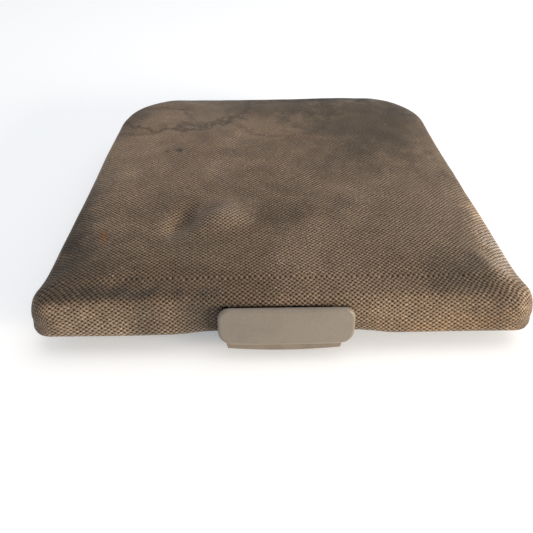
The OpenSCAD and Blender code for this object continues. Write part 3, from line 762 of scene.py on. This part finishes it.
def cloth_cover():
    """The cloth, stretched over the foam with its edge turned under and cut out round the latch."""
    hem = [(inset, CLOTH_Z, 1) for inset in (HEM, 0.013, 0.010, 0.007)]
    rings = swollen(wrapped_rings(hem + pad_profile(0.0), 0.0))
    bm = bmesh.new()
    uv = bm.loops.layers.uv.new("flat cloth")
    ring_mesh(bm, rings, uv, 0.0028)
    bmesh.ops.recalc_face_normals(bm, faces=bm.faces[:])
    # The latch's cut-out: clean edges first, then what is inside them goes.
    for at, way in (((NOTCH_HALF, 0, 0), (1, 0, 0)), ((-NOTCH_HALF, 0, 0), (1, 0, 0)),
                    ((0, 0, NOTCH_TOP), (0, 0, 1))):
        near = [f for f in bm.faces if f.calc_center_median().y < FRONT_Y + NOTCH_DEPTH
                and f.calc_center_median().z < NOTCH_TOP + 0.004]
        geometry = near + list({e for f in near for e in f.edges}) + list({v for f in near for v in f.verts})
        bmesh.ops.bisect_plane(bm, geom=geometry, plane_co=at, plane_no=way, dist=0.0001)
    inside = [f for f in bm.faces if abs(f.calc_center_median().x) < NOTCH_HALF
              and f.calc_center_median().y < FRONT_Y + NOTCH_DEPTH and f.calc_center_median().z < NOTCH_TOP]
    bmesh.ops.delete(bm, geom=inside, context="FACES")
    piece = finished("cloth_over_pad", bm, CLOTH, "lid")
    add_modifier(piece, "SOLIDIFY", "cloth thickness", thickness=CLOTH_THICK, offset=-1.0)
    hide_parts("cloth_cover")
    return piece


def foam_pad():
    """The foam under the cloth: crowned outside, hollow below where the shell fits."""
    hairline = 0.0001
    skin = CLOTH_THICK + hairline
    cavity = 0.0055 - hairline
    roof_z = CLOTH_Z + 0.0142
    rings = [[(Vector((p.x * share, p.y * share, roof_z)), Vector((p.x, p.y))) for p, _ in lid_outline(cavity)]
             for share in (0.6, 0.99, 1.0)]
    rings += [[(Vector((p.x, p.y, z)), Vector((p.x, p.y))) for p, _ in lid_outline(cavity)]
              for z in (CLOTH_Z + 0.0135, CLOTH_Z + 0.008, CLOTH_Z + 0.0046)]
    outer = [(i, z, share) for i, z, share in pad_profile(skin) if z > CLOTH_Z + 0.0040]
    rings += swollen(wrapped_rings(outer, skin))
    bm = bmesh.new()
    ring_mesh(bm, rings, None, 0.006, skin)
    bmesh.ops.contextual_create(bm, geom=[e for e in bm.edges if e.is_boundary])
    bmesh.ops.recalc_face_normals(bm, faces=bm.faces[:])
    piece = finished("foam_block", bm, FOAM, "lid")
    cutter = bmesh.new()
    bmesh.ops.create_cube(cutter, size=1.0)
    bmesh.ops.scale(cutter, vec=(0.0732, 0.044, 0.034), verts=cutter.verts)
    bmesh.ops.translate(cutter, vec=(0, FRONT_Y + 0.0006, roof_z - 0.0085), verts=cutter.verts)
    block = finished("latch pocket cutter", cutter, FOAM, None)
    add_modifier(piece, "BOOLEAN", "latch pocket", object=block, operation="DIFFERENCE", solver="EXACT")
    apply_modifiers(piece)
    bpy.data.objects.remove(block)
    piece.data.shade_smooth()
    piece.data.set_sharp_from_angle(angle=math.radians(40))
    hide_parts("foam_pad")
    return piece


cover = cloth_cover()
foam = foam_pad()


# ---------------------------------------------------------------- the lever

LEVER_MIDDLE = Vector((0.0010, FRONT_Y - 0.0026, CLOTH_Z + 0.0110))
LEVER_LEAN = math.radians(14)
LEVER_WIDTH, LEVER_HEIGHT, LEVER_THICK = lever_high.x - lever_low.x - 0.0002, 0.0230, 0.0024


def merged_copy(node):
    """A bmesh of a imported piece, with its loose triangles joined and its flat faces made whole."""
    bm = bmesh.new()
    bm.from_mesh(nodes[node].data)
    bmesh.ops.remove_doubles(bm, verts=bm.verts[:], dist=1e-6)
    bmesh.ops.dissolve_limit(bm, angle_limit=math.radians(1.0), verts=bm.verts[:], edges=bm.edges[:])
    return bm


def round_edges(bm, width):
    """Rounds every edge that turns by more than 40 degrees."""
    edges = [e for e in bm.edges if e.is_manifold and e.calc_face_angle(0) > math.radians(40)]
    bmesh.ops.bevel(bm, geom=edges, offset=width, offset_type="OFFSET", segments=2, profile=0.5,
                    affect="EDGES", material=-1, clamp_overlap=True)


def finger_lever():
    """The moulded lever: a softly domed face with a rounded rim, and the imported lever's arms behind it."""
    bm = bmesh.new()
    bmesh.ops.create_grid(bm, x_segments=1, y_segments=1, size=0.5)
    bmesh.ops.scale(bm, vec=(LEVER_WIDTH, LEVER_HEIGHT, 1), verts=bm.verts[:])
    for top, radius in ((True, 0.0066), (False, 0.0080)):
        corners = [v for v in bm.verts if (v.co.y > 0) == top and abs(v.co.x) > LEVER_WIDTH * 0.49
                   and abs(v.co.y) > LEVER_HEIGHT * 0.49]
        bmesh.ops.bevel(bm, geom=corners, offset=radius, offset_type="OFFSET", segments=10, profile=0.5,
                        affect="VERTICES", material=-1)
    face = bm.faces[:]
    bmesh.ops.translate(bm, vec=(0, 0, -LEVER_THICK), verts=bm.verts[:])
    made = bmesh.ops.extrude_face_region(bm, geom=face, use_keep_orig=True)["geom"]
    front = [g for g in made if isinstance(g, bmesh.types.BMFace)]
    bmesh.ops.translate(bm, vec=(0, 0, LEVER_THICK), verts=[g for g in made if isinstance(g, bmesh.types.BMVert)])
    bmesh.ops.recalc_face_normals(bm, faces=bm.faces[:])
    for width in (0.0020, 0.0013, 0.0012):
        bmesh.ops.inset_region(bm, faces=front, thickness=width, use_even_offset=True, use_boundary=True)
    rim = [e for e in bm.edges if e.calc_face_angle(0) > math.radians(60)]
    bmesh.ops.bevel(bm, geom=[e for e in rim if e.verts[0].co.z > -0.0002 and e.verts[1].co.z > -0.0002],
                    offset=0.0017, offset_type="OFFSET", segments=6, profile=0.5, affect="EDGES", material=-1)
    bmesh.ops.bevel(bm, geom=[e for e in bm.edges if e.is_manifold and e.calc_face_angle(0) > math.radians(60)
                              and e.verts[0].co.z < -0.0022 and e.verts[1].co.z < -0.0022],
                    offset=0.0004, offset_type="OFFSET", segments=2, profile=0.5, affect="EDGES", material=-1)
    for way, reach, count in (((1, 0, 0), LEVER_WIDTH, 24), ((0, 1, 0), LEVER_HEIGHT, 9)):
        for k in range(1, count):
            bmesh.ops.bisect_plane(bm, geom=bm.verts[:] + bm.edges[:] + bm.faces[:], dist=1e-5, plane_no=way,
                                   plane_co=Vector(way) * (reach * (k / count - 0.5)))
    for v in bm.verts:
        if v.co.z > -0.0018:
            dome = (1 - (v.co.x / LEVER_WIDTH * 2) ** 2) * (1 - (v.co.y / LEVER_HEIGHT * 2) ** 2 / 2)
            v.co.z += 0.0016 * dome * eased((v.co.z + 0.0018) / 0.0018)
    bmesh.ops.recalc_face_normals(bm, faces=bm.faces[:])
    stand = Matrix.Translation(LEVER_MIDDLE) @ Matrix.Rotation(math.radians(90) - LEVER_LEAN, 4, "X")
    bmesh.ops.transform(bm, matrix=stand, verts=bm.verts[:])
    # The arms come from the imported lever, cut off just behind the face.
    arms = merged_copy("latch_lever")
    outward = (stand.to_3x3() @ Vector((0, 0, 1))).normalized()
    bmesh.ops.bisect_plane(arms, geom=arms.verts[:] + arms.edges[:] + arms.faces[:], dist=1e-6, clear_outer=True,
                           plane_co=LEVER_MIDDLE - outward * (LEVER_THICK - 0.0004), plane_no=outward)
    bmesh.ops.contextual_create(arms, geom=[e for e in arms.edges if e.is_boundary])
    loose = [v for v in arms.verts if (v.co - LEVER_MIDDLE).dot(outward) > -0.0031 and abs(v.co.x) > 0.0312]
    bmesh.ops.delete(arms, geom=loose, context="VERTS")
    held = bpy.data.meshes.new("lever arms")
    arms.to_mesh(held)
    arms.free()
    bm.from_mesh(held)
    bpy.data.meshes.remove(held)
    piece = finished("finger_lever", bm, TRIM, "latch", sharp_above=38)
    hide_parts("latch_lever")
    return piece


finger_lever()


# ---------------------------------------------------------------- moulded and pressed pieces, edges rounded

def soft_edged(node, name, material, body, width, shaped=None):
    """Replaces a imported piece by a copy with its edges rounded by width, and shaped first where asked."""
    bm = merged_copy(node)
    if shaped:
        shaped(bm)
    round_edges(bm, width)
    piece = finished(name, bm, material, body, sharp_above=30)
    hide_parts(node)
    return piece


LIP_SPREAD = 1.10


def flared_lip(bm):
    """The finger lip is a little wider than the plate behind it."""
    for v in bm.verts:
        if v.co.y < FRONT_Y + 0.0052 and v.co.z < CLOTH_Z + 0.005:
            v.co.x *= LIP_SPREAD


soft_edged("latch_hook_plate", "hook_plate", LIP, "latch", 0.0004, shaped=flared_lip)
soft_edged("inner_panel", "moulded_panel", PANEL, "lid", 0.0005)
soft_edged("hinge_leaf", "pressed_leaf", SHEET, "lid", 0.0003)
soft_edged("hinge_bracket", "pressed_bracket", SHEET, "console_bracket", 0.0003)
soft_edged("latch_housing", "moulded_housing", BLACK, "lid", 0.0003)


def wound_spring():
    """A smooth-shaded copy of the latch spring, not attached to any body; on the real lid one end stays with the
    lid and the other turns with the lever.
    """
    bm = bmesh.new()
    bm.from_mesh(nodes["latch_spring"].data)
    bmesh.ops.remove_doubles(bm, verts=bm.verts[:], dist=1e-6)
    piece = finished("wound_spring", bm, SPRING, None, sharp_above=50)
    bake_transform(piece)
    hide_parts("latch_spring")


wound_spring()


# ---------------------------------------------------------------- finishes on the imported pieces

FINISH = {
    "lid_shell": BLACK, "cloth_staples": ZINC, "inner_panel_screws": ZINC,
    "rim_bumper_front_left": RUBBER, "rim_bumper_front_right": RUBBER, "rim_bumper_rear_left": RUBBER,
    "rim_bumper_rear_right": RUBBER, "latch_housing_screws": ZINC, "latch_pin": STEEL,
    "latch_stop_pad_left": RUBBER, "latch_stop_pad_right": RUBBER, "latch_hook_screws": ZINC,
    "hinge_leaf_screws": ZINC, "hinge_inserts": BRASS, "hinge_bush_1": NYLON, "hinge_bush_2": NYLON,
    "hinge_bush_3": NYLON, "hinge_bush_4": NYLON, "hinge_rod": STEEL, "rod_clip_left": STEEL,
    "rod_clip_right": STEEL}

for name, material in FINISH.items():
    for place in nodes[name].material_slots:
        place.material = material


# ---------------------------------------------------------------- floor, light and camera

def floor():
    """A plain pale floor, faintly bright of its own so that it stays pale all round."""
    bm = bmesh.new()
    bmesh.ops.create_grid(bm, x_segments=1, y_segments=1, size=3.0)
    material, s, principled = new_material("pale floor", Roughness=0.9)
    principled.inputs["Base Color"].default_value = (0.88, 0.88, 0.88, 1)
    principled.inputs["Emission Color"].default_value = (0.93, 0.96, 1.0, 1)
    principled.inputs["Emission Strength"].default_value = 0.30
    mesh = bpy.data.meshes.new("floor")
    bm.to_mesh(mesh)
    bm.free()
    mesh.materials.append(material)
    piece = bpy.data.objects.new("floor", mesh)
    bpy.context.scene.collection.objects.link(piece)


def soft_light(name, at, towards, size, power, colour):
    """A rectangular lamp of size (width, height) at a place, facing another."""
    light = bpy.data.lights.new(name, "AREA")
    light.shape = "RECTANGLE"
    light.size, light.size_y = size
    light.energy = power
    light.color = colour
    lamp = bpy.data.objects.new(name, light)
    lamp.location = at
    lamp.rotation_euler = (Vector(towards) - Vector(at)).to_track_quat("-Z", "Y").to_euler()
    bpy.context.scene.collection.objects.link(lamp)


def studio():
    """A pale room with a low warm window at the right and a weak light overhead."""
    world = bpy.data.worlds.new("pale room")
    world.use_nodes = True
    world.node_tree.nodes["Background"].inputs["Color"].default_value = (0.92, 0.95, 1.0, 1)
    world.node_tree.nodes["Background"].inputs["Strength"].default_value = 0.50
    bpy.context.scene.world = world
    soft_light("warm window", (1.05, -0.62, 0.26), (0.0, -0.05, 0.03), (0.4, 0.3), 17.0, (1.0, 0.86, 0.68))
    soft_light("overhead", (0.25, 0.1, 1.3), (0, 0, 0), (1.2, 1.2), 6.0, (1.0, 0.98, 0.95))
    bpy.context.scene.view_settings.view_transform = "Standard"


def camera():
    """Stands in front of the lid, above it and a little to the left, looking down at the middle."""
    lens = bpy.data.cameras.new("camera")
    lens.sensor_width = 36.0
    lens.lens = 36.5
    eye = bpy.data.objects.new("camera", lens)
    distance = 0.3445
    el, az, tilt = math.radians(42.8), math.radians(1.4), math.radians(0.29)
    look = Vector((math.sin(az) * math.cos(el), math.cos(az) * math.cos(el), -math.sin(el)))
    target = Vector((-0.0086, -0.0683, CLOTH_Z))
    right = look.cross(Vector((0, 0, 1))).normalized()
    up = right.cross(look)
    turned_right = right * math.cos(tilt) + up * math.sin(tilt)
    turned_up = up * math.cos(tilt) - right * math.sin(tilt)
    eye.matrix_world = Matrix.Translation(target - look * distance) @ Matrix(
        (turned_right, turned_up, -look)).transposed().to_4x4()
    bpy.context.scene.collection.objects.link(eye)
    bpy.context.scene.camera = eye


floor()
studio()
camera()
